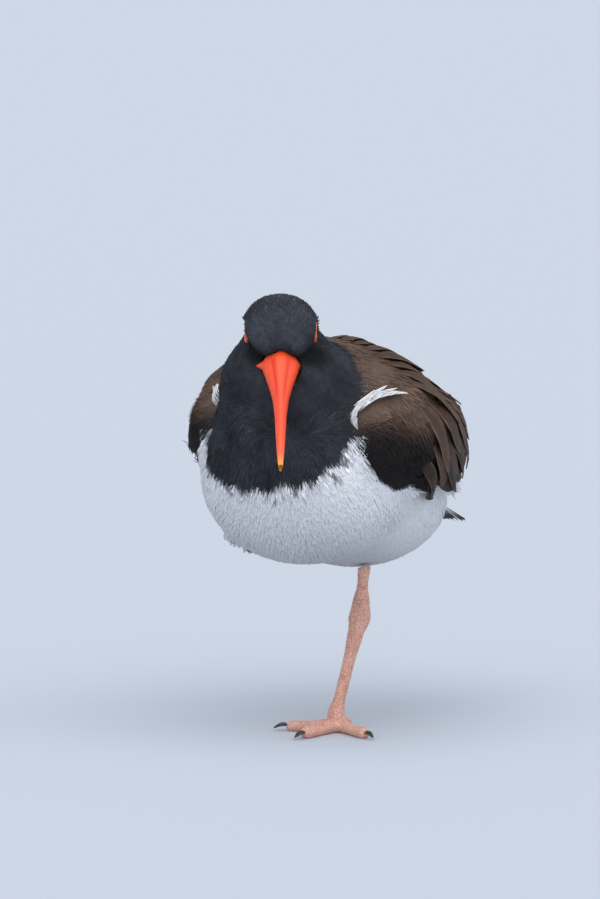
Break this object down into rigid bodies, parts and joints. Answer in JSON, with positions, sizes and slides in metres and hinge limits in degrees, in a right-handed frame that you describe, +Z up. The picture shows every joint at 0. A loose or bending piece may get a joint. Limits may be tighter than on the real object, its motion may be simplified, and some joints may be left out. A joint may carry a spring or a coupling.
{
  "type": "oystercatcher",
  "caption": "Life-size model of an oystercatcher resting on one leg, with the other drawn up, the neck sunk between the shoulders and the long bill dipped and turned to its left",
  "frame": {"origin": "on the floor, at the flat under the middle of the standing left foot", "axes": "+Z is up, -Y is where the breast faces, +X is the bird's left side"},
  "size_m": [0.148, 0.2657, 0.246],
  "materials": {
    "plumage_black": "matte feathers",
    "plumage_brown": "matte feathers",
    "plumage_dark": "matte feathers",
    "plumage_white": "matte feathers",
    "bill": "satin horn",
    "claw": "satin horn",
    "eye": "glossy eye",
    "eyelid": "bare skin",
    "leg_skin": "scaly bare skin"
  },
  "bodies": {
    "root": {"back": "plumage_brown", "belly": "plumage_white", "bill_lower": "bill", "bill_upper": "bill", "breast": "plumage_black", "claw_left_inner": "claw", "claw_left_middle": "claw", "claw_left_outer": "claw", "claw_right_inner": "claw", "claw_right_middle": "claw", "claw_right_outer": "claw", "eye_left": "eye", "eye_right": "eye", "eyelid_left": "eyelid", "eyelid_right": "eyelid", "foot_left": "leg_skin", "foot_right": "leg_skin", "head": "plumage_black", "leg_left_shank": "leg_skin", "leg_left_tarsus": "leg_skin", "leg_right_tarsus": "leg_skin", "neck": "plumage_black", "shoulder_tuft_left": "plumage_white", "shoulder_tuft_right": "plumage_white", "tail": "plumage_dark", "tail_coverts_under": "plumage_white", "tail_coverts_upper": "plumage_white", "wing_left": "plumage_brown", "wing_right": "plumage_brown"}
  },
  "joints": []
}
